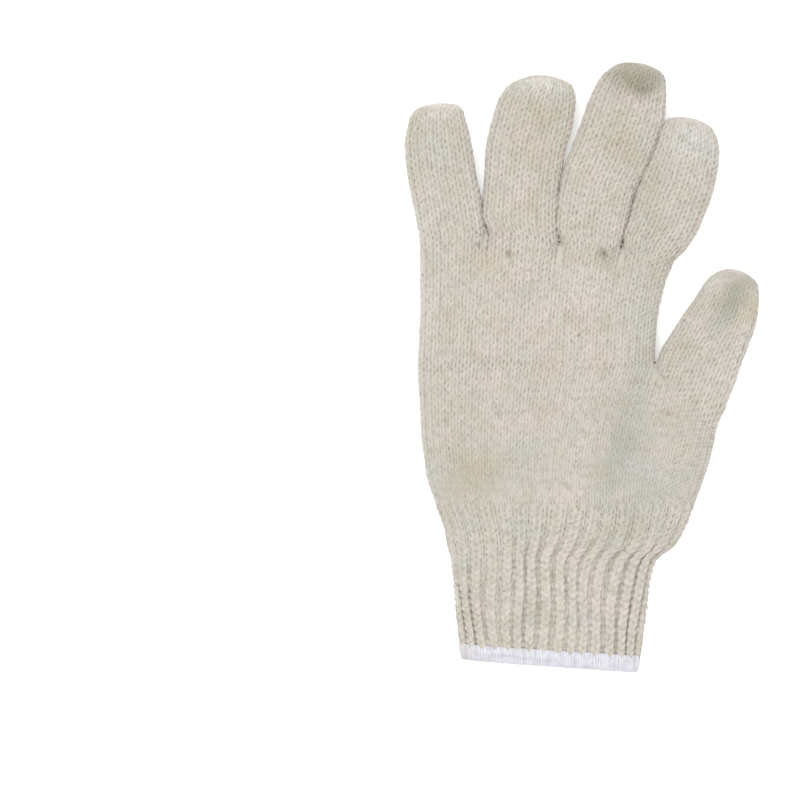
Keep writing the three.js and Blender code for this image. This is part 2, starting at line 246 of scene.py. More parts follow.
# The camera looks straight down at this place, and its picture is this wide at this height. The sensor's
# width is in millimetres.
VIEW_CENTRE = (-73.9 * mm, -14 * mm)
VIEW_WIDTH = 324 * mm
VIEW_LEVEL = 6 * mm
CAMERA_DISTANCE = 2.5
SENSOR_WIDTH = 36

# Lamps: name, place, width and power
LAMPS = (("key", (-0.7, 0.9, 1.8), 1.4, 20.0), ("fill", (1.2, -0.8, 1.6), 1.8, 9.0))

# The table's half width and faint glow, and the light from all round
TABLE_REACH = 3.0
TABLE_GLOW = 0.35
WORLD_LIGHT = 0.84


def mix(a, b, share):
    """Between a and b."""
    return a + (b - a) * share


def smooth(share):
    """Eases a share in and out, held to 0 and 1."""
    share = np.clip(share, 0, 1)
    return share * share * (3 - 2 * share)


def direction(degrees):
    """Unit vector at an angle from +X."""
    return np.array((math.cos(math.radians(degrees)), math.sin(math.radians(degrees))))


def read_column(table, column, at):
    """A table's column at a share, on a curve that never overshoots its rows."""
    x = np.array(table["at"], float)
    y = np.array(table[column], float)
    slope = np.diff(y) / np.diff(x)
    before, after = slope[:-1], slope[1:]
    total = np.where(before + after == 0, 1, before + after)
    inner = np.where(before * after > 0, 2 * before * after / total, 0)
    tangent = np.concatenate(([slope[0]], inner, [slope[-1]]))
    row = int(np.clip(np.searchsorted(x, at, side="right") - 1, 0, len(x) - 2))
    span = x[row + 1] - x[row]
    t = min(1.0, max(0.0, (at - x[row]) / span))
    rise = y[row + 1] - y[row]
    start, end = tangent[row] * span, tangent[row + 1] * span
    return float(y[row] + t * (start + t * (3 * rise - 2 * start - end + t * (start + end - 2 * rise))))


def read_half(table, at):
    """Half widths, read as squares so that a tip closes round."""
    squares = {"at": table["at"], "half": np.square(table["half"])}
    return math.sqrt(max(0.0, read_column(squares, "half", at)))


def round_off(across, flat):
    """Quarter round: 1 over the flat share, falling to 0 at the side."""
    t = np.clip((np.abs(across) - flat) / (1 - flat), 0, 1)
    return np.sqrt(np.maximum(0, 1 - t * t))


def distance_to_edge(start, ray, edge):
    """How far a ray goes until it meets a run of straight stretches, or None."""
    stretch = np.diff(edge, axis=0)
    offset = edge[:-1] - start
    cross = ray[0] * stretch[:, 1] - ray[1] * stretch[:, 0]
    tiny, slack = 1e-12, 0.02
    safe = np.where(np.abs(cross) < tiny, 1, cross)
    along = (offset[:, 0] * stretch[:, 1] - offset[:, 1] * stretch[:, 0]) / safe
    share = (offset[:, 0] * ray[1] - offset[:, 1] * ray[0]) / safe
    met = (np.abs(cross) >= tiny) & (along > 0) & (share >= -slack) & (share <= 1 + slack)
    return along[met].min() if met.any() else None


def rounded_height(height, top, bottom, across, above):
    """Heights round a row of the palm or the cuff, between its top and its bottom."""
    level = height * SIDE_SHARE
    high = mix(level, top, round_off(across, PALM_SHAPE["above"]))
    low = mix(level, bottom, round_off(across, PALM_SHAPE["below"]))
    return np.where(above, high, low)


class FingerTube:
    """The lying tube of a finger or the thumb, from the corners of its root to its tip."""

    def __init__(self, sizes, root_left, root_right, neighbour):
        self.width, self.length, lean, _, self.outline = sizes
        self.root = (root_left + root_right) / 2
        self.axis = direction(90 + lean)
        self.square = direction(lean)
        self.line = (root_right - root_left) / np.linalg.norm(root_right - root_left)
        self.neighbour = neighbour

    def edges(self, at):
        across = mix(self.line, self.square, float(smooth(at / ROOT_EASE["square"])))
        across = across / np.linalg.norm(across)
        side = read_column(self.outline, "side", at) * self.width
        middle = self.root + self.axis * self.length * at + across * side
        half = read_half(self.outline, at) * (self.width - BESIDE_GAP)
        reach = half
        if self.neighbour is not None:
            room = distance_to_edge(middle, -across, self.neighbour)
            if room is not None:
                near = smooth(at / ROOT_EASE["grow"]) * (1 - smooth(at / ROOT_EASE["fade"]))
                reach = min(half, max(0.0, room + MESHED)) + ROOT_OVERLAP * float(near)
        return middle - across * reach, middle + across * half

    def right_edge(self):
        return np.array([self.edges(at)[1] for at in NEIGHBOUR_STEPS])

    def loop(self, at, across, above):
        left, right = self.edges(at)
        level = FINGER_HEIGHT * SIDE_SHARE
        closing = max(0.0, (at - TIP_START) / (1 - TIP_START))
        close = math.sqrt(max(0.0, 1 - closing * closing))
        press = PRESSED * float(smooth(at / ROOT_EASE["pressed"])) * close
        press = press / max(np.linalg.norm(right - left), PRESSED)
        pressed = np.clip(across * (1 + 2 * press), -1, 1)
        spot = left + (right - left) * ((pressed + 1) / 2)[:, None]
        low = level - level * close * round_off(across, FINGER_SHAPE["below"])
        flat = mix(ROOT_FLAT, FINGER_SHAPE["above"], float(smooth(at / ROOT_EASE["flat"])))
        high = level + (FINGER_HEIGHT - level) * close * round_off(across, flat)
        return np.column_stack((spot, np.where(above, high, low)))


class PalmTube:
    """A palm tube between two runs of corners, easing into the tubes that grow from its upper edge."""

    def __init__(self, lower, upper, sides, valley, knuckle_width, children):
        self.lower, self.upper, self.sides, self.valley = lower, upper, sides, valley
        self.knuckle_width = knuckle_width
        self.children = children
        marks = np.cumsum(np.linalg.norm(np.diff(upper, axis=0), axis=1))
        self.places = 2 * np.concatenate(([0], marks)) / marks[-1] - 1

    def along_run(self, corners, across):
        marks = np.concatenate(([0], np.cumsum(np.linalg.norm(np.diff(corners, axis=0), axis=1))))
        distance = marks[-1] * (across + 1) / 2
        return np.column_stack([np.interp(distance, marks, corners[:, axis]) for axis in (0, 1)])

    def loop(self, at, across, above):
        spot = mix(self.along_run(self.lower, across), self.along_run(self.upper, across), at)
        left = read_column(self.sides, "left", at) * self.knuckle_width
        right = read_column(self.sides, "right", at) * self.knuckle_width
        spot[:, 0] += right * np.maximum(0, across) ** 2 - left * np.minimum(0, across) ** 2
        valley = self.valley
        fade = float(smooth((at - 1 + valley["fade"]) / valley["fade"]))
        dip = sum(np.exp(-(((across - place) / valley["spread"] / 2) ** 2)) for place in self.places[1:-1])
        crown = 1 - PALM_SHAPE["crown"] * across * across
        top = PALM_HEIGHT * crown * (1 - valley["depth"] * fade * dip)
        bottom = PALM_HEIGHT * valley["depth"] * fade * dip * PALM_SHAPE["underside"]
        height = rounded_height(PALM_HEIGHT, top, bottom, across, above)
        ease = float(smooth((at - 1 + CHILD_EASE) / CHILD_EASE)) * CHILD_SHARE
        for child, start, end in zip(self.children, self.places[:-1], self.places[1:]):
            if child is not None:
                own = (across >= start) & (across <= end)
                inner = np.clip(2 * (across - start) / (end - start) - 1, -1, 1)
                height = np.where(own, mix(height, child.loop(0, inner, above)[:, 2], ease), height)
        return np.column_stack((spot, height))


class CuffTube:
    """The cuff as a smooth tube from its mouth up. Its ribs are pressed in afterwards."""

    def loop(self, at, across, above):
        half = mix(MOUTH_WIDTH, PALM_BASE_WIDTH, read_column(CUFF, "flare", at)) / 2
        shift = PALM_BASE_SHIFT * read_column(CUFF, "shift", at)
        straight_half = mix(half, mix(MOUTH_WIDTH, PALM_BASE_WIDTH, at) / 2, RIB_STRAIGHT)
        straight_shift = mix(shift, PALM_BASE_SHIFT * at, RIB_STRAIGHT)
        beside = mix(straight_shift + straight_half * across, shift + half * across, np.abs(across) ** 5)
        spot = np.array((0.0, CUFF_LENGTH * at)) + direction(MOUTH_TILT * (1 - at)) * beside[:, None]
        height = mix(CUFF_HEIGHT, PALM_HEIGHT, float(smooth(at)))
        crown = 1 - PALM_SHAPE["crown"] * across * across
        return np.column_stack((spot, rounded_height(height, height * crown, 0.0, across, above)))


def build_tubes():
    """Every tube of the glove by the name of its node, in the frame of the cuff's mouth."""
    names = list(FINGERS)
    knuckle_width = sum(FINGERS[n][0] * math.cos(math.radians(FINGERS[n][3])) for n in names)
    knuckle_y = CUFF_LENGTH + LOWER_PALM_LENGTH + UPPER_PALM_LENGTH
    knuckles = [np.array((KNUCKLE_SHIFT - knuckle_width / 2, knuckle_y))]
    for name in names:
        knuckles.append(knuckles[-1] + direction(FINGERS[name][3]) * FINGERS[name][0])
    tubes = {}
    neighbour = None
    for i, name in enumerate(names):
        tubes[name] = FingerTube(FINGERS[name], knuckles[i], knuckles[i + 1], neighbour)
        neighbour = tubes[name].right_edge()
    waist_left = np.array((knuckles[0][0] - HEEL_OUT, CUFF_LENGTH + LOWER_PALM_LENGTH))
    crotch = np.array((knuckles[4][0] - THUMB_CROTCH_IN, waist_left[1] + THUMB_CROTCH_RISE))
    thumb_end = crotch + direction(THUMB_SIZES[3]) * THUMB_SIZES[0]
    tubes["thumb"] = FingerTube(THUMB_SIZES, crotch, thumb_end, None)
    base = np.array([(PALM_BASE_SHIFT + sign * PALM_BASE_WIDTH / 2, CUFF_LENGTH) for sign in (-1, 1)])
    cut = np.array([waist_left, crotch])
    top = np.array([waist_left, crotch, thumb_end])
    tubes["upper_palm"] = PalmTube(cut, np.array(knuckles), UPPER_SIDES, KNUCKLE_VALLEY, knuckle_width,
                                   [tubes[name] for name in names])
    tubes["lower_palm"] = PalmTube(base, top, LOWER_SIDES, THUMB_VALLEY, knuckle_width,
                                   [None, tubes["thumb"]])
    tubes["rib_cuff"] = CuffTube()
    return tubes


def frame_move(tubes):
    """The step from the middle of the cuff's mouth to the frame's origin, read from the lower palm's box."""
    side = np.array((-1.0, 1.0))
    above = np.array((True, True))
    palm = tubes["lower_palm"]
    left = min(palm.loop(at, side, above)[0, 0] for at in np.linspace(0, 1, 33))
    base = palm.loop(0, side, above)[0, 1] + SEAM_GAP / 2
    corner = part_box("lower_palm")[0]
    return np.array((corner[0] - left, corner[1] - base, 0.0))


TUBES = build_tubes()
MOVE = frame_move(TUBES)


def sink(points):
    """Lowers the upper cloth into its hollows, and lets it wave a little as cloth does."""
    x, y, z = points[..., 0], points[..., 1], points[..., 2]
    drop = 0
    for (cx, cy), (wide, long), turn, depth in HOLLOWS:
        axis = direction(turn)
        u = ((x - cx * mm) * axis[0] + (y - cy * mm) * axis[1]) / (wide * mm)
        v = ((y - cy * mm) * axis[0] - (x - cx * mm) * axis[1]) / (long * mm)
        drop = drop + depth * mm * np.exp(-u * u - v * v)
    first, second, third = [np.sin(x / mm * a + y / mm * b + start) for a, b, start in WAVES]
    wave = first * second + THIRD_WAVE * third
    points = points.copy()
    points[..., 2] = z - (drop - wave * WAVE_HEIGHT) * smooth((z - SINK_FROM) / SINK_SPAN)
    return points


def outward_of(rows):
    """Unit normals of a grid of closed loops, pointing out of the tube."""
    ring = rows[:, :-1]
    around = np.roll(ring, -1, axis=1) - np.roll(ring, 1, axis=1)
    normal = np.cross(around, np.gradient(ring, axis=0))
    normal = normal / np.maximum(np.linalg.norm(normal, axis=2), 1e-15)[..., None]
    girth = np.linalg.norm(around, axis=2).sum(axis=1)
    for row in np.flatnonzero(girth < 1 * mm):
        step = ring[row].mean(axis=0) - ring[row - 2].mean(axis=0)
        normal[row] = step / np.linalg.norm(step)
    return np.concatenate((normal, normal[:, :1]), axis=1)


def rows_of(tube, places, turns, inset, ribs=0.0):
    """Loops round a tube at places along it, each of evenly spaced points and closed by its first."""
    fine = np.linspace(0, 2 * math.pi, 721)
    across, above = -np.cos(fine), fine <= math.pi
    fade_places = np.linspace(0, 1, 41)
    fade = [read_column(CUFF, "ribs", at) for at in fade_places]
    rows, lifts = [], []
    for at in places:
        loop = tube.loop(float(at), across, above)
        stretch = np.linalg.norm(np.diff(loop, axis=0) * (1, 1, 0.5), axis=1)
        marks = np.concatenate(([0], np.cumsum(stretch)))
        steps = np.arange(turns) / turns
        if ribs:
            round_turn = 2 * math.pi * steps
            wander = RIB_WANDER * np.sin(at * 9 + 3 * round_turn) + RIB_SPACING * np.sin(7 * round_turn + 2)
            steps = steps + (wander + CREST_SHARE * np.sin(RIB_COUNT * round_turn)) / RIB_COUNT
        even = steps % 1 * marks[-1]
        loop = np.column_stack([np.interp(even, marks, loop[:, axis]) for axis in range(3)])
        rows.append(np.vstack((loop, loop[:1])))
        side = np.interp(even, marks, across)
        early = at - RIB_FADE["middle"] * math.sin(math.pi * at)
        early = early + RIB_FADE["left"] * np.minimum(0, side) ** 2
        early = early + RIB_FADE["right"] * np.maximum(0, side) ** 2
        uneven = 1 + RIB_UNEVEN * np.sin(5 * 2 * math.pi * steps + 1)
        depth = RIB_DEPTH * ribs * np.interp(early, fade_places, fade) * uneven
        lifts.append(np.append(depth, depth[:1]))
    rows = sink(np.array(rows) + MOVE)
    wave = np.cos(2 * math.pi * RIB_COUNT * np.arange(turns + 1) / turns) - 1
    offset = np.array(lifts) * wave - np.reshape(inset, (-1, 1))
    return rows + outward_of(rows) * offset[..., None]


def even_places(tube, first, last, count):
    """Places along a tube that are evenly far apart over its surface, on average round it, and its length."""
    fine = first + (last - first) * np.sin(np.linspace(0, math.pi / 2, 181))
    rows = rows_of(tube, fine, 48, 0)
    marks = np.concatenate(([0], np.cumsum(np.linalg.norm(np.diff(rows, axis=0), axis=2).mean(axis=1))))
    return np.interp(np.linspace(0, marks[-1], count), marks, fine), marks[-1]


def grid_object(name, rows, faces):
    """A new object from a grid of points and its square faces."""
    mesh = bpy.data.meshes.new(name)
    mesh.from_pydata(rows.reshape(-1, 3).tolist(), [], faces.reshape(-1, 4).tolist())
    mesh.update()
    made = bpy.data.objects.new(name, mesh)
    bpy.context.scene.collection.objects.link(made)
    return made


def store_values(mesh, label, kind, domain, values):
    """Adds an attribute to a mesh from an array."""
    field = "value" if kind == "FLOAT" else "vector"
    mesh.attributes.new(label, kind, domain).data.foreach_set(field, values.astype(np.float32).ravel())


def sheet_for_stitches(rows, wales, rises, wale_width):
    """The sheet that stitches are laid on, with its map in wales and courses and its outward direction."""
    turns = rows.shape[1] - 1
    spare = turns * 2 // wales
    pick = np.concatenate((np.arange(-1 - spare, -1), np.arange(turns + 1), np.arange(1, 1 + spare)))
    wide = len(pick)
    corners = np.arange(len(rows) * wide).reshape(len(rows), wide)
    faces = np.stack((corners[:-1, :-1], corners[:-1, 1:], corners[1:, 1:], corners[1:, :-1]), axis=-1)
    made = grid_object("sheet", rows[:, pick], faces)
    u, v = np.meshgrid((np.arange(wide) - spare) * wales / turns, rises)
    girth = np.linalg.norm(np.diff(rows, axis=1), axis=2).sum(axis=1) / wales / wale_width
    gauge = np.repeat(np.clip(girth, 0, MOST_GAUGE)[:, None], wide, axis=1)
    store_values(made.data, "cells", "FLOAT2", "POINT", np.stack((u, v), axis=-1) / wales)
    store_values(made.data, "outward", "FLOAT_VECTOR", "POINT", outward_of(rows)[:, pick])
    store_values(made.data, "gauge", "FLOAT", "POINT", gauge)
    return made


def closed_wall(name, outer, inner, tip):
    """A closed wall between outer and inner loops, with its chart. At a tip the last loop is one point."""
    outer, inner = outer[:, :-1], inner[:, :-1]
    rows, turns = outer.shape[:2]
    out = np.arange(rows * turns).reshape(rows, turns)
    into = out + rows * turns
    after = np.roll(np.arange(turns), -1)
    half, margin = 0.49, 0.005
    left = np.arange(turns) / turns * half
    right = left + half / turns
    level = (np.arange(rows) + 1) / (rows + 2)
    low, high, rim = level[:-1], level[1:], 0.9 / (rows + 2)
    faces, chart = [], []

    def strip(corners, places):
        faces.append(np.stack(corners, axis=-1).reshape(-1, 4))
        spots = [np.stack(np.broadcast_arrays(u, np.reshape(v, (-1, 1))), axis=-1) for u, v in places]
        chart.append(np.stack(spots, axis=-2).reshape(-1, 2))

    strip((out[:-1], out[:-1, after], out[1:, after], out[1:]),
          ((left, low), (right, low), (right, high), (left, high)))
    strip((into[:-1, after], into[:-1], into[1:], into[1:, after]),
          ((right + 0.5, low), (left + 0.5, low), (left + 0.5, high), (right + 0.5, high)))
    strip((into[:1, after], out[:1, after], out[:1], into[:1]),
          ((right, 0), (right, rim), (left, rim), (left, 0)))
    if not tip:
        strip((out[-1:], out[-1:, after], into[-1:, after], into[-1:]),
              ((left, 1 - rim), (right, 1 - rim), (right, 1), (left, 1)))
    made = grid_object(name, np.concatenate((outer, inner)), np.concatenate(faces))
    chart = np.concatenate(chart)
    chart[:, 1] = THREAD_CHART + margin + (1 - 2 * margin - THREAD_CHART) * chart[:, 1]
    store_values(made.data, "OFBake", "FLOAT2", "CORNER", chart)
    return made


class Wire:
    """A node's socket that takes part in arithmetic. Each sign adds one Math node."""

    def __init__(self, tree, socket):
        self.tree, self.socket = tree, socket

    def maths(self, operation, *others):
        node = self.tree.nodes.new("ShaderNodeMath")
        node.operation = operation
        for value, socket in zip((self, *others), node.inputs):
            plug(self.tree, value, socket)
        return Wire(self.tree, node.outputs[0])

    def __add__(self, other):
        return self.maths("ADD", other)

    __radd__ = __add__

    def __mul__(self, other):
        return self.maths("MULTIPLY", other)

    __rmul__ = __mul__

    def __sub__(self, other):
        return self.maths("SUBTRACT", other)

    def __rsub__(self, other):
        return self * -1 + other

    def __truediv__(self, other):
        return self.maths("DIVIDE", other)


def plug(tree, value, socket):
    """Links a wire to a socket, or sets a plain value on it."""
    if isinstance(value, Wire):
        tree.links.new(value.socket, socket)
    else:
        socket.default_value = value


class Net:
    """Adds nodes to one tree. Settings go on the node, and values or wires on its sockets."""

    def __init__(self, tree):
        self.tree = tree

    def node(self, kind, settings=None, **values):
        node = self.tree.nodes.new(kind)
        for key, value in (settings or {}).items():
            setattr(node, key, value)
        for key, value in values.items():
            label = key.replace("_", " ")
            fits = [s for s in node.inputs if s.enabled and label in (s.name, s.identifier)]
            plug(self.tree, value, fits[0])
        return node

    def wire(self, kind, settings=None, output=0, **values):
        node = self.node(kind, settings, **values)
        return Wire(self.tree, [s for s in node.outputs if s.enabled][output])

    def vector(self, x, y, z):
        return self.wire("ShaderNodeCombineXYZ", X=x, Y=y, Z=z)

    def vectors(self, operation, a, b=None, scale=None):
        node = self.tree.nodes.new("ShaderNodeVectorMath")
        node.operation = operation
        plug(self.tree, a, node.inputs[0])
        if b is not None:
            plug(self.tree, b, node.inputs[1])
        if scale is not None:
            plug(self.tree, scale, node.inputs["Scale"])
        return Wire(self.tree, node.outputs["Value" if operation in ("LENGTH", "DOT_PRODUCT") else "Vector"])

    def parts(self, vector):
        node = self.node("ShaderNodeSeparateXYZ", Vector=vector)
        return [Wire(self.tree, socket) for socket in node.outputs]

    def named(self, name, kind="FLOAT"):
        return self.wire("GeometryNodeInputNamedAttribute", {"data_type": kind}, Name=name)

    def store(self, geometry, name, value, kind="FLOAT", domain="POINT"):
        settings = {"data_type": kind, "domain": domain}
        return self.wire("GeometryNodeStoreNamedAttribute", settings,
                         Geometry=geometry, Name=name, Value=value)


# Points this close are one
WELD = 0.002 * mm

THREAD_INPUTS = {
    "Sheet": "Object", "Material": "Material", "Columns": "Int", "Rows": "Int", "First row": "Float",
    "Steps": "Int", "Sides": "Int", "Column width": "Float", "Row height": "Float",
    "Thread radius": "Float", "Chart columns": "Int", "Chart rows": "Int",
}


def thread_tree(name, inputs):
    """An empty Geometry Nodes tree for threads laid on a sheet, and the wires that its inputs arrive on."""
    tree = bpy.data.node_groups.new(name, "GeometryNodeTree")
    tree.is_modifier = True
    tree.interface.new_socket("Geometry", in_out="OUTPUT", socket_type="NodeSocketGeometry")
    tree.interface.new_socket("Geometry", in_out="INPUT", socket_type="NodeSocketGeometry")
    for label, kind in {**THREAD_INPUTS, **inputs}.items():
        tree.interface.new_socket(label, in_out="INPUT", socket_type="NodeSocket" + kind)
    source = tree.nodes.new("NodeGroupInput")
    return tree, Net(tree), {socket.name: Wire(tree, socket) for socket in source.outputs if socket.name}


def flat_strips(net, wires):
    """One flat strip for each thread, carrying its place along and round the thread."""
    columns = wires["Columns"]
    grid = net.node("GeometryNodeMeshGrid",
                    Vertices_X=columns * wires["Steps"] + 1, Vertices_Y=wires["Sides"] + 1)
    x, y, _ = net.parts(net.wire("GeometryNodeInputPosition"))
    place = net.vector((x + 0.5) * columns, (y + 0.5) * (2 * math.pi), 0.0)
    strip = net.store(Wire(net.tree, grid.outputs["Mesh"]), "thread", place, "FLOAT_VECTOR")
    strip = net.store(strip, "chart", Wire(net.tree, grid.outputs["UV Map"]), "FLOAT_VECTOR", "CORNER")
    line = net.wire("GeometryNodeMeshLine", {"mode": "OFFSET"}, Count=wires["Rows"], Offset=(0.0, 0.0, 1.0))
    copies = net.wire("GeometryNodeInstanceOnPoints", Points=line, Instance=strip)
    copies = net.store(copies, "row", net.wire("GeometryNodeInputIndex"), "FLOAT", "INSTANCE")
    return net.wire("GeometryNodeRealizeInstances", Geometry=copies)


def lay_threads(net, wires, strips, path, side, tangent):
    """Rolls the strips into round threads along a path, charts them and joins the wall behind."""
    upward = net.vectors("CROSS_PRODUCT", side, tangent)
    wale, turn, _ = net.parts(net.named("thread", "FLOAT_VECTOR"))
    round_turn = wale / wires["Columns"] * (2 * math.pi)
    span = wires["Columns"] * (0.5 / math.pi)
    row = net.named("row") * 1.3
    ring = net.vector(round_turn.maths("COSINE") * span, round_turn.maths("SINE") * span, row)
    uneven = net.parts(net.wire("ShaderNodeTexNoise", output=1, Vector=ring, Scale=1.1, Detail=2.0))
    uneven = [share - 0.5 for share in uneven]
    radius = wires["Thread radius"] * (uneven[0] * THICKNESS_VARIES + 1.0)
    path = (
        path[0] + uneven[1] * STRAY[0],
        path[1] + uneven[2] * STRAY[1],
        path[2] + uneven[0] * wires["Thread radius"] * STRAY[2],
    )
    swing = net.vectors(
        "ADD",
        net.vectors("SCALE", side, scale=turn.maths("COSINE") * radius),
        net.vectors("SCALE", upward, scale=turn.maths("SINE") * radius),
    )
    swing = net.parts(swing)
    across = path[0] + swing[0] / wires["Column width"]
    upward = path[1] + swing[1] / wires["Row height"]
    place = net.vectors("DIVIDE", net.vector(across, upward, 0.0), wires["Columns"])
    sheet = Wire(net.tree, net.node("GeometryNodeObjectInfo", Object=wires["Sheet"]).outputs["Geometry"])
    cells = net.named("cells", "FLOAT_VECTOR")

    def read(value, kind):
        return net.wire("GeometryNodeSampleUVSurface", {"data_type": kind}, Mesh=sheet, Value=value,
                        Source_UV_Map=cells, Sample_UV=place)

    spot = read(net.wire("GeometryNodeInputPosition"), "FLOAT_VECTOR")
    outward = net.vectors("NORMALIZE", read(net.named("outward", "FLOAT_VECTOR"), "FLOAT_VECTOR"))
    lift = (path[2] + swing[2]) * read(net.named("gauge"), "FLOAT")
    spot = net.vectors("ADD", spot, net.vectors("SCALE", outward, scale=lift))
    laid = net.wire("GeometryNodeSetPosition", Geometry=strips, Position=spot)
    laid = net.wire("GeometryNodeMergeByDistance", Geometry=laid, Distance=WELD)
    along, around, _ = net.parts(net.named("chart", "FLOAT_VECTOR"))
    along = along * wires["Columns"]
    cell = net.wire("GeometryNodeFieldOnDomain", {"data_type": "FLOAT", "domain": "FACE"}, Value=along)
    cell = cell.maths("FLOOR")
    index = net.named("row") * wires["Columns"] + cell
    chart_row = (index / wires["Chart columns"] + 0.001).maths("FLOOR")
    chart_column = index - chart_row * wires["Chart columns"]
    inside = 0.92
    u = (chart_column + around * inside + (1 - inside) / 2) / wires["Chart columns"]
    v = (chart_row + (along - cell) * inside + (1 - inside) / 2) / wires["Chart rows"] * THREAD_CHART
    laid = net.store(laid, "OFBake", net.vector(u, v, 0.0), "FLOAT2", "CORNER")
    laid = net.store(laid, "strand", net.vector(along, around, net.named("row")), "FLOAT_VECTOR", "CORNER")
    wall = net.wire("GeometryNodeMergeByDistance", Geometry=wires["Geometry"], Distance=WELD)
    join = net.tree.nodes.new("GeometryNodeJoinGeometry")
    net.tree.links.new(wall.socket, join.inputs[0])
    net.tree.links.new(laid.socket, join.inputs[0])
    whole = net.wire("GeometryNodeRealizeInstances", Geometry=Wire(net.tree, join.outputs[0]))
    whole = net.wire("GeometryNodeSetShadeSmooth", Geometry=whole)
    whole = net.wire("GeometryNodeSetMaterial", Geometry=whole, Material=wires["Material"])
    target = net.tree.nodes.new("NodeGroupOutput")
    net.tree.links.new(whole.socket, target.inputs[0])


def stitch_tree():
    """Stocking stitch: each course is one yarn that waves up and down through the courses beside it."""
    more = {"Loop slant": "Float", "Loop reach": "Float", "Loop depth": "Float"}
    tree, net, wires = thread_tree("Stocking stitch", more)
    strips = flat_strips(net, wires)
    wale = net.parts(net.named("thread", "FLOAT_VECTOR"))[0]
    turn, double = wale * (2 * math.pi), wale * (4 * math.pi)
    slant, reach, depth = wires["Loop slant"], wires["Loop reach"], wires["Loop depth"]
    path = (
        wale + double.maths("SINE") * slant,
        net.named("row") + wires["First row"] + turn.maths("COSINE") * reach,
        double.maths("COSINE") * depth * -1,
    )
    slope = (
        (double.maths("COSINE") * slant * (4 * math.pi) + 1) * wires["Column width"],
        turn.maths("SINE") * reach * wires["Row height"] * (-2 * math.pi),
        double.maths("SINE") * depth * (4 * math.pi),
    )
    side = net.vectors("NORMALIZE", net.vector(slope[1], slope[0] * -1, 0.0))
    lay_threads(net, wires, strips, path, side, net.vectors("NORMALIZE", net.vector(*slope)))
    return tree


def wrap_tree():
    """Overlocking: one thread that winds over the edge, round and round."""
    more = {"Band height": "Float", "Band depth": "Float"}
    tree, net, wires = thread_tree("Overlock wraps", more)
    strips = flat_strips(net, wires)
    wrap = net.parts(net.named("thread", "FLOAT_VECTOR"))[0]
    turn = wrap * (2 * math.pi)
    height, depth = wires["Band height"], wires["Band depth"]
    path = (
        wrap + turn.maths("SINE") * WRAP_SLANT,
        wires["First row"] + turn.maths("COSINE") * height / wires["Row height"],
        turn.maths("SINE") * depth,
    )
    slope = (
        (turn.maths("COSINE") * (WRAP_SLANT * 2 * math.pi) + 1) * wires["Column width"],
        turn.maths("SINE") * height * (-2 * math.pi),
        turn.maths("COSINE") * depth * (2 * math.pi),
    )
    tangent = net.vectors("NORMALIZE", net.vector(*slope))
    lean = net.vectors("DOT_PRODUCT", tangent, (1.0, 0.0, 0.0))
    side = net.vectors("SUBTRACT", (1.0, 0.0, 0.0), net.vectors("SCALE", tangent, scale=lean))
    lay_threads(net, wires, strips, path, net.vectors("NORMALIZE", side), tangent)
    return tree


def run_tree(made, tree, values):
    """Evaluates a tree on an object, keeps the result as its plain mesh and removes the sheet."""
    modifier = made.modifiers.new(tree.name, "NODES")
    modifier.node_group = tree
    for item in tree.interface.items_tree:
        if item.in_out == "INPUT" and item.name in values:
            modifier[item.identifier] = values[item.name]
    made.update_tag()
    depsgraph = bpy.context.evaluated_depsgraph_get()
    result = bpy.data.meshes.new_from_object(made.evaluated_get(depsgraph))
    made.modifiers.remove(modifier)
    if len(result.polygons) == 0:
        raise RuntimeError(f"{tree.name} made no faces for {made.name}")
    old = made.data
    made.data = result
    bpy.data.meshes.remove(old)
    result.name = made.name
    for label in ("thread", "chart", "row"):
        result.attributes.remove(result.attributes[label])
    bpy.data.meshes.remove(values["Sheet"].data)


def linear(colour, gain):
    """A screen colour as linear light, with alpha."""
    shares = [channel / 255 for channel in colour]
    light = [share / 12.92 if share <= 0.04045 else ((share + 0.055) / 1.055) ** 2.4 for share in shares]
    return (*[min(0.96, value * gain) for value in light], 1.0)


# Screen colours of the cotton yarn and of the edge's thread
ECRU = (205, 199, 188)
WHITE = (224, 224, 231)

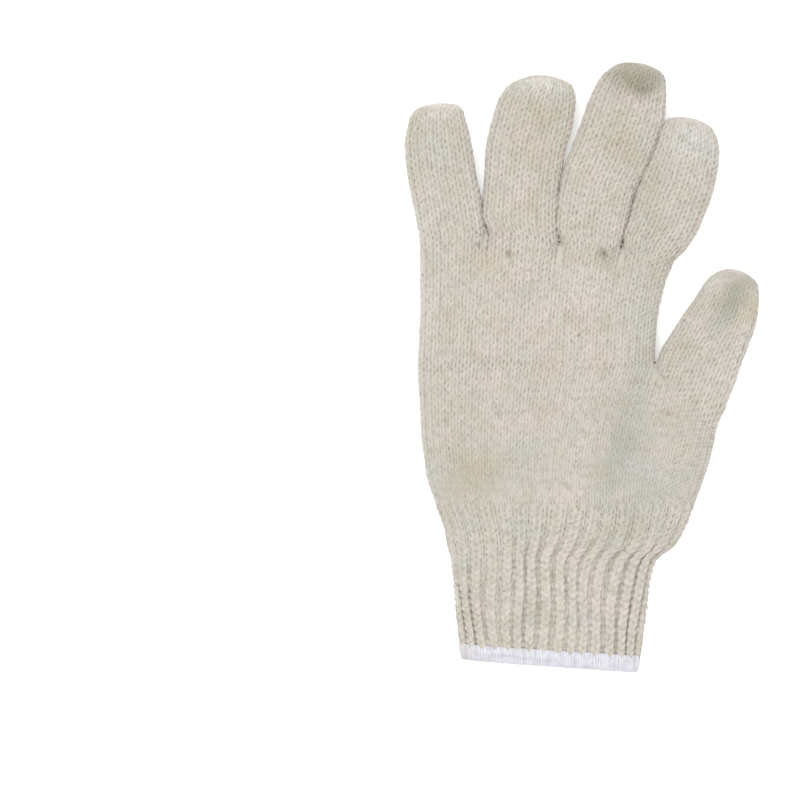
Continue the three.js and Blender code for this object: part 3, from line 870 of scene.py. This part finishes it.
# Tints of the cloth, some of them painted shade, in mm: place, half lengths across and along, turn, colour
# and strength
TINTS_AND_SHADE = (
    ((-20, 16), (26, 34), 0, (215, 205, 197), 0.75),
    ((2, 30), (12, 12), 0, (218, 209, 205), 0.7),
    ((-9, -97), (45, 28), 0, (222, 216, 206), 0.85),
    ((-64, 43), (6, 40), 0, (214, 211, 204), 0.5),
    ((-19, 91), (13, 28), -7, (201, 193, 174), 0.75),
    ((-66, 94), (6, 11), 6, (194, 195, 176), 0.75),
    ((-57, 105), (9, 3.5), 5, (226, 222, 216), 0.85),
    ((-17, 104), (10, 5), -7, (192, 185, 166), 0.7),
    ((-16, 114.5), (11, 4.5), -7, (226, 223, 217), 0.85),
    ((3, -30), (9, 32), -6, (217, 210, 204), 0.6),
    # Painted shade along the valley between the thumb and the palm
    ((17, -37), (8.5, 27), -7, (176, 179, 169), 0.95),
    ((-47, -41), (12, 12), 0, (188, 181, 158), 0.85),
    ((-26, -36), (6, 16), 0, (195, 194, 189), 0.6),
    ((-40, 42), (8, 5), 0, (199, 191, 166), 0.6),
    ((-13.4, 43.5), (7, 5), 0, (203, 197, 176), 0.5),
    ((8.7, 43.5), (6, 5.5), 0, (195, 186, 158), 0.7),
    ((-16, 2), (7, 7), 0, (196, 188, 164), 0.6),
    ((7, 1), (3, 7), 0, (200, 191, 166), 0.5),
    ((14, 89), (9, 7), -13, (190, 182, 158), 0.7),
    ((58, -2), (7, 22), -20, (218, 212, 205), 0.6),
    ((64, 22), (3.5, 7), -30, (208, 197, 166), 0.7),
    ((54, 33), (4, 4), 0, (218, 217, 210), 0.6),
    # Painted shade: a dark streak in the crease at the thumb's tip
    ((61, 28), (3.4, 14), -38, (158, 157, 140), 0.95),
    ((44, 91), (10, 10), -17, (219, 218, 215), 0.8),
    ((27.5, 66), (5, 20), -17, (186, 182, 164), 0.6),
    # The next two darken the middle finger's tip where it folds over: partly stain, partly painted shade
    ((18.3, 117), (14.5, 7.5), -8, (136, 129, 105), 0.92),
    ((25, 113), (4, 3), 0, (118, 108, 84), 0.55),
    ((24, 16), (6, 22), 4, (196, 200, 192), 0.75),
    ((26, -48), (12, 9), -20, (186, 190, 182), 0.7),
    ((-43.5, 47.5), (1.4, 1.1), 0, (112, 94, 72), 0.9),
    ((-30.5, 46.7), (1, 1.3), 0, (124, 108, 84), 0.8),
    ((8.7, 44.7), (1.5, 1.6), 0, (98, 78, 54), 1),
    ((23.7, -6.3), (1, 1), 0, (150, 130, 104), 0.6),
)

# Tints of the edge's thread, one of them a painted shadow, laid out in the same way
HEM_TINTS_AND_SHADOW = (
    ((-47.5, -116), (4, 5), 0, (205, 199, 190), 0.9),
    # Painted shadow: a thin grey line along the lower part of the hem's left side
    ((-27, -118.6), (19, 0.9), -4, (190, 190, 196), 0.6),
    ((30, -119), (12, 4), -4, (214, 216, 214), 0.5),
)

# Colours of the broad clouds and of the flecks in the yarn
CLOUDS = ((192, 183, 160), (221, 207, 205), (197, 199, 193))
FLECKS = (150, 128, 102)

# How fine the patterns in the yarn are, as scales of noise, and how far the edges of tints drift
PATTERNS = {"drift": 70.0, "clouds": 85.0, "grain": 480.0, "flecks": 620.0, "fibres": 1800.0}
DRIFT = 11 * mm


def cloth_material(name, base, tints, gain, twist, cloudy):
    """Soft spun yarn: a base colour with broad tints, some of them painted shade, flecks, and the twist of
    its fibres.
    """
    base = [channel * 255 for channel in base]
    made = bpy.data.materials.new(name)
    made.use_nodes = True
    made.node_tree.nodes.clear()
    net = Net(made.node_tree)
    spot = Wire(net.tree, net.node("ShaderNodeTexCoord").outputs["Object"])
    strand = Wire(net.tree, net.node("ShaderNodeAttribute", {"attribute_name": "strand"}).outputs["Vector"])

    def noise(pattern, detail, output=0):
        scale = PATTERNS[pattern]
        return net.wire("ShaderNodeTexNoise", output=output, Vector=spot, Scale=scale, Detail=detail)

    def ramp(value, start, steepness):
        return ((value - start) * steepness).maths("MAXIMUM", 0.0).maths("MINIMUM", 1.0)

    def darker(step):
        return linear([channel - step for channel in base], gain)

    def blend(factor, a, b):
        return net.wire("ShaderNodeMix", {"data_type": "RGBA"}, Factor=factor, A=a, B=b)

    drift = net.vectors("SUBTRACT", noise("drift", 1.0, output=1), (0.5, 0.5, 0.5))
    moved = net.vectors("ADD", spot, net.vectors("SCALE", drift, scale=DRIFT))
    colour = linear(base, gain)
    for (x, y), (wide, long), turn, tint, strength in tints:
        place = {"Location": (x * mm, y * mm, 0.0), "Rotation": (0.0, 0.0, math.radians(turn)),
                 "Scale": (wide * mm, long * mm, 1.0)}
        local = net.wire("ShaderNodeMapping", {"vector_type": "TEXTURE"}, Vector=moved, **place)
        reach = net.vectors("LENGTH", net.vectors("MULTIPLY", local, (1.0, 1.0, 0.0)))
        share = (reach * reach * -1).maths("EXPONENT") * strength
        colour = blend(share, colour, linear(tint, gain))
    for cloud, tint in zip(net.parts(noise("clouds", 3.0, output=1)), CLOUDS):
        colour = blend(ramp(cloud, 0.5, 3.2) * cloudy, colour, linear(tint, gain))
    fibre = noise("fibres", 3.0)
    grain = ramp(noise("grain", 3.0), 0.42, 3)
    colour = blend(grain * 0.66, colour, darker(34))
    colour = blend(fibre * 0.35, colour, darker(22))
    fleck = ramp(noise("flecks", 1.0), 0.68, 14)
    colour = blend(fleck * (cloudy * 0.62), colour, linear(FLECKS, gain))
    along, around, _ = net.parts(strand)
    ply = ((along * 7 + around * 2) * (2 * math.pi)).maths("SINE")
    height = ply * twist + fibre * 0.6
    bump = net.wire("ShaderNodeBump", Strength=0.35, Distance=0.12 * mm, Height=height)
    rough = fibre * 0.1 + 0.87
    shader = net.node("ShaderNodeBsdfPrincipled", Base_Color=colour, Normal=bump, Roughness=rough)
    shader.inputs["Specular IOR Level"].default_value = 0.2
    shader.inputs["Sheen Weight"].default_value = 0.25
    shader.inputs["Sheen Roughness"].default_value = 0.6
    target = net.tree.nodes.new("ShaderNodeOutputMaterial")
    net.tree.links.new(shader.outputs[0], target.inputs["Surface"])
    return made


def finish_piece(made, node):
    """Hands a piece to the frame in place of its CAD node."""
    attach(made, "root")
    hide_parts(node)


def knit_piece(node, first, sizes, tip=False, ribs=0.0):
    """Knits one tube: the wall behind, the sheet that stitches lie on, and the stitches themselves."""
    tube, wales = TUBES[node], WALES[node]
    middle = sizes.yarn_radius + sizes.loop_depth
    length = even_places(tube, first, 1.0, 2)[1]
    first_row, spare = TIP_COURSES if tip else TUBE_COURSES
    courses = round(length / sizes.course_height - spare)
    places = even_places(tube, first, 1.0, courses * SHEET_STEPS + 1)[0]
    before = places[0] - (places[1] - places[0]) * np.arange(SHEET_SPARE, 0, -1)
    after = [] if tip else places[-1] + (places[-1] - places[-2]) * np.arange(1, SHEET_SPARE + 1)
    steps = np.arange(len(before) + len(places) + len(after))
    beyond = np.maximum(SHEET_SPARE - steps, steps - SHEET_SPARE - len(places) + 1)
    dip = END_DIP * smooth(beyond / SHEET_STEPS)
    rows = rows_of(tube, np.concatenate((before, places, after)), wales * SHEET_STEPS, middle + dip, ribs)
    rises = (steps - SHEET_SPARE) / SHEET_STEPS * (courses + spare) / courses
    sheet = sheet_for_stitches(rows, wales, rises, sizes.wale_width)
    behind = middle + sizes.backing
    turns = wales * (SHEET_STEPS if ribs else 1)
    wall_places = np.concatenate(([before[-2]], places[SHEET_STEPS::SHEET_STEPS]))
    tuck = TUCK * (np.arange(len(wall_places)) == 0)
    outer = rows_of(tube, wall_places, turns, behind + tuck, ribs)
    inner = rows_of(tube, wall_places, turns, behind + tuck + WALL, ribs)
    made = closed_wall(node + "_knit", outer, inner, tip)
    material = bpy.data.materials.get("ecru cotton")
    if material is None:
        material = cloth_material("ecru cotton", sizes.yarn_colour, TINTS_AND_SHADE, gain=0.955, twist=0.4, cloudy=0.8)
    run_tree(made, bpy.data.node_groups.get("Stocking stitch") or stitch_tree(), {
        "Sheet": sheet, "Material": material, "Columns": wales, "Rows": courses, "First row": first_row,
        "Steps": sizes.steps, "Sides": sizes.sides, "Column width": sizes.wale_width,
        "Row height": sizes.course_height, "Thread radius": sizes.yarn_radius, "Chart columns": wales,
        "Chart rows": courses, "Loop slant": sizes.loop_slant, "Loop reach": sizes.loop_reach,
        "Loop depth": sizes.loop_depth,
    })
    finish_piece(made, node)


class GloveSizes(PropertyGroup):
    """Sizes and colours of the knit."""

    wale_width: FloatProperty(name="Wale width", description="Width of one column of stitches",
                              default=3.0 * mm, unit="LENGTH")
    course_height: FloatProperty(name="Course height", description="Height of one row of stitches",
                                 default=2.7 * mm, unit="LENGTH")
    yarn_radius: FloatProperty(name="Yarn radius", description="Half the thickness of the cotton string",
                               default=0.78 * mm, unit="LENGTH")
    loop_depth: FloatProperty(name="Loop depth", description="How far a loop swings to the front and back",
                              default=0.3 * mm, unit="LENGTH")
    loop_slant: FloatProperty(name="Loop slant", description="Slant of its legs, as a share of a wale",
                              default=0.27, subtype="FACTOR")
    loop_reach: FloatProperty(name="Loop reach", description="Half height of a loop, as a share of a row",
                              default=0.9, subtype="FACTOR")
    backing: FloatProperty(name="Backing", description="How far behind the middle of the yarn the wall lies",
                           default=-0.35 * mm, unit="LENGTH")
    steps: IntProperty(name="Steps", description="Lengths of yarn in one stitch", default=9)
    sides: IntProperty(name="Sides", description="Faces round the yarn", default=5)
    wraps: IntProperty(name="Wraps", description="Turns of thread over the cuff's edge", default=200)
    wrap_radius: FloatProperty(name="Wrap radius", description="Half the thickness of the edge's thread",
                               default=0.5 * mm, unit="LENGTH")
    yarn_colour: FloatVectorProperty(name="Yarn colour", description="Colour of the cotton between its tints",
                                     default=[channel / 255 for channel in ECRU], subtype="COLOR_GAMMA")
    thread_colour: FloatVectorProperty(name="Thread colour", description="Colour of the edge's thread",
                                       default=[channel / 255 for channel in WHITE], subtype="COLOR_GAMMA")


class GLOVE_OT_fingers(Operator):
    """Knits the four fingers and the thumb, each as a tube closed at its tip"""

    bl_idname = "glove.fingers"
    bl_label = "Fingers and thumb"

    def execute(self, context):
        for node in (*FINGERS, "thumb"):
            knit_piece(node, 0.0, context.scene.glove_sizes, tip=True)
        return {"FINISHED"}


class GLOVE_OT_palm(Operator):
    """Knits the two tubes of the palm"""

    bl_idname = "glove.palm"
    bl_label = "Palm"

    def execute(self, context):
        for node in ("upper_palm", "lower_palm"):
            knit_piece(node, 0.0, context.scene.glove_sizes)
        return {"FINISHED"}


class GLOVE_OT_cuff(Operator):
    """Knits the ribbed cuff above its edge"""

    bl_idname = "glove.cuff"
    bl_label = "Ribbed cuff"

    def execute(self, context):
        first = HEM_LENGTH / CUFF_LENGTH
        knit_piece("rib_cuff", first, context.scene.glove_sizes, ribs=CUFF_RIBS)
        return {"FINISHED"}


class GLOVE_OT_hem(Operator):
    """Winds the white thread over the cuff's edge"""

    bl_idname = "glove.hem"
    bl_label = "Overlocked edge"

    def execute(self, context):
        sizes = context.scene.glove_sizes
        tube, wraps, radius = TUBES["rib_cuff"], sizes.wraps, sizes.wrap_radius
        heights = np.arange(-2.0, 10.0)
        rows = rows_of(tube, heights * mm / CUFF_LENGTH, RIB_COUNT * 12, HEM_MIDDLE, HEM_RIBS)
        sheet = sheet_for_stitches(rows, wraps, heights, WRAP_WIDTH)
        places = np.linspace(*HEM_WALL, 5) / CUFF_LENGTH
        outer = rows_of(tube, places, RIB_COUNT * 6, HEM_MIDDLE - HEM_HALF_WALL, HEM_RIBS)
        inner = rows_of(tube, places, RIB_COUNT * 6, HEM_MIDDLE + HEM_HALF_WALL, HEM_RIBS)
        made = closed_wall("overlock_hem_threads", outer, inner, False)
        white = sizes.thread_colour
        material = cloth_material("white thread", white, HEM_TINTS_AND_SHADOW, gain=0.99, twist=0.3, cloudy=0.0)
        run_tree(made, wrap_tree(), {
            "Sheet": sheet, "Material": material, "Columns": wraps, "Rows": 1,
            "First row": (HEM_BAND / 2 - HEM_BELOW) / mm, "Steps": 16, "Sides": 5,
            "Column width": WRAP_WIDTH, "Row height": mm, "Thread radius": radius,
            "Chart columns": HEM_CHART_COLUMNS, "Chart rows": math.ceil(wraps / HEM_CHART_COLUMNS),
            "Band height": HEM_BAND / 2 - radius, "Band depth": HEM_MIDDLE - radius,
        })
        finish_piece(made, "overlock_hem")
        return {"FINISHED"}


class GLOVE_OT_stage(Operator):
    """Lays the glove on a white table under soft light, and looks straight down at it"""

    bl_idname = "glove.stage"
    bl_label = "Table, light and camera"

    def execute(self, context):
        scene = context.scene
        mesh = bpy.data.meshes.new("table")
        corners = [(x * TABLE_REACH, y * TABLE_REACH, 0) for x, y in ((-1, -1), (1, -1), (1, 1), (-1, 1))]
        mesh.from_pydata(corners, [], [(0, 1, 2, 3)])
        table = bpy.data.objects.new("table", mesh)
        scene.collection.objects.link(table)
        paint = bpy.data.materials.new("white table")
        paint.use_nodes = True
        shader = paint.node_tree.nodes["Principled BSDF"]
        shader.inputs["Base Color"].default_value = (0.9, 0.9, 0.9, 1)
        shader.inputs["Roughness"].default_value = 0.8
        shader.inputs["Emission Color"].default_value = (1, 1, 1, 1)
        shader.inputs["Emission Strength"].default_value = TABLE_GLOW
        mesh.materials.append(paint)
        for name, place, width, power in LAMPS:
            lamp = bpy.data.lights.new(name, "AREA")
            lamp.size = width
            lamp.energy = power
            holder = bpy.data.objects.new(name, lamp)
            x, y, z = place
            holder.location = place
            holder.rotation_euler = (math.atan2(math.hypot(x, y), z), 0, math.atan2(-y, -x) - math.pi / 2)
            scene.collection.objects.link(holder)
        world = bpy.data.worlds.new("studio")
        world.use_nodes = True
        world.node_tree.nodes["Background"].inputs["Color"].default_value = (1, 1, 1, 1)
        world.node_tree.nodes["Background"].inputs["Strength"].default_value = WORLD_LIGHT
        scene.world = world
        scene.view_settings.view_transform = "Standard"
        lens = bpy.data.cameras.new("camera")
        lens.sensor_width = SENSOR_WIDTH
        lens.lens = SENSOR_WIDTH * CAMERA_DISTANCE / VIEW_WIDTH
        camera = bpy.data.objects.new("camera", lens)
        camera.location = (*VIEW_CENTRE, CAMERA_DISTANCE + VIEW_LEVEL)
        scene.collection.objects.link(camera)
        scene.camera = camera
        return {"FINISHED"}


class GLOVE_PT_panel(Panel):
    """Buttons that build the glove"""

    bl_label = "Cotton work glove"
    bl_idname = "GLOVE_PT_panel"
    bl_space_type = "VIEW_3D"
    bl_region_type = "UI"
    bl_category = "Glove"

    def draw(self, context):
        for label in GloveSizes.__annotations__:
            self.layout.prop(context.scene.glove_sizes, label)
        for operator in OPERATORS:
            self.layout.operator(operator.bl_idname)


OPERATORS = (GLOVE_OT_fingers, GLOVE_OT_palm, GLOVE_OT_cuff, GLOVE_OT_hem, GLOVE_OT_stage)
CLASSES = (GloveSizes, *OPERATORS, GLOVE_PT_panel)


def register():
    for cls in CLASSES:
        bpy.utils.register_class(cls)
    bpy.types.Scene.glove_sizes = PointerProperty(type=GloveSizes)


def unregister():
    del bpy.types.Scene.glove_sizes
    for cls in reversed(CLASSES):
        bpy.utils.unregister_class(cls)


def main():
    register()
    bpy.ops.glove.fingers()
    bpy.ops.glove.palm()
    bpy.ops.glove.cuff()
    bpy.ops.glove.hem()
    bpy.ops.glove.stage()


if __name__ == "__main__":
    main()
